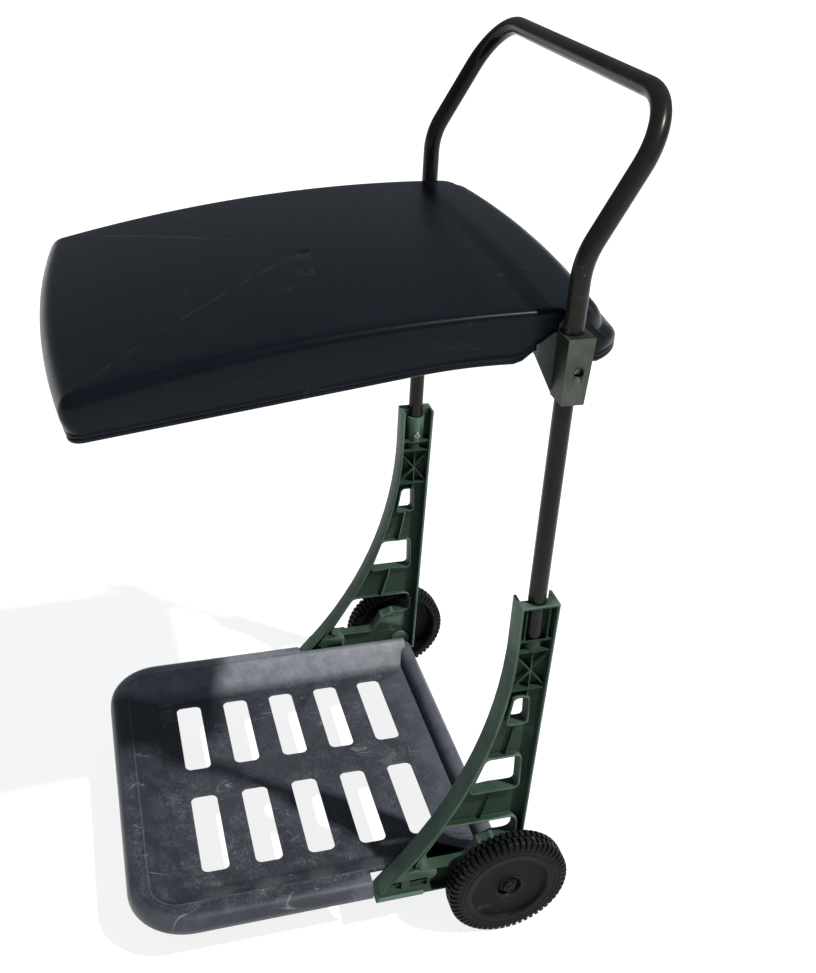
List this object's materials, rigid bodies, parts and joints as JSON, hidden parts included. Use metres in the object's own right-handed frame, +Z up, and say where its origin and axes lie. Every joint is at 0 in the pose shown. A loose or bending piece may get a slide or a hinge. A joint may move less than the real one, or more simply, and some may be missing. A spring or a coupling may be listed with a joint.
{
  "type": "garden kneeler seat",
  "caption": "Wheeled garden kneeler seat: slotted plastic tray, green side frames with a wheel each, bent tube handle and a crowned seat that folds up.",
  "frame": {"origin": "on the ground, under the middle of the object's bounding box", "axes": "+Z up, +Y towards the handle and wheels, +X to the right-hand side seen from the front"},
  "size_m": [0.5564, 0.5739, 1.02],
  "materials": {
    "painted_steel": "gloss dark brown-black paint",
    "green_plastic": "satin moulded dark green",
    "black_plastic": "satin moulded blue-black, dusty and scuffed",
    "wheel_plastic": "matt moulded charcoal",
    "zinc_steel": "zinc-plated hardware"
  },
  "bodies": {
    "cart": {"handle_tube": "painted_steel", "tray": "black_plastic", "side_frame_left": "green_plastic", "side_frame_right": "green_plastic", "clamp_outer_left": "green_plastic", "clamp_outer_right": "green_plastic", "clamp_inner_left": "green_plastic", "clamp_inner_right": "green_plastic", "clamp_screw_left": "zinc_steel", "clamp_screw_right": "zinc_steel", "socket_screw_left": "zinc_steel", "socket_screw_right": "zinc_steel", "tray_screw_left": "zinc_steel", "tray_screw_right": "zinc_steel", "stub_axle_left": "zinc_steel", "stub_axle_right": "zinc_steel", "axle_washer_left": "zinc_steel", "axle_washer_right": "zinc_steel", "hub_cap_left": "wheel_plastic", "hub_cap_right": "wheel_plastic"},
    "seat": {"seat_shell": "black_plastic", "seat_rim_ring": "black_plastic", "seat_pivot_pin_left": "zinc_steel", "seat_pivot_pin_right": "zinc_steel"},
    "wheel_left": {"wheel_left": "wheel_plastic"},
    "wheel_right": {"wheel_right": "wheel_plastic"}
  },
  "joints": [
    {"name": "seat_fold", "type": "hinge", "parent": "cart", "child": "seat", "pos_m": [0, 0.2, 0.801], "axis": [-1, 0, 0], "range_deg": [0, 65]},
    {"name": "wheel_left_spin", "type": "hinge", "parent": "cart", "child": "wheel_left", "pos_m": [-0.2642, 0.196, 0.077], "axis": [1, 0, 0], "continuous": true},
    {"name": "wheel_right_spin", "type": "hinge", "parent": "cart", "child": "wheel_right", "pos_m": [0.2642, 0.196, 0.077], "axis": [1, 0, 0], "continuous": true}
  ]
}
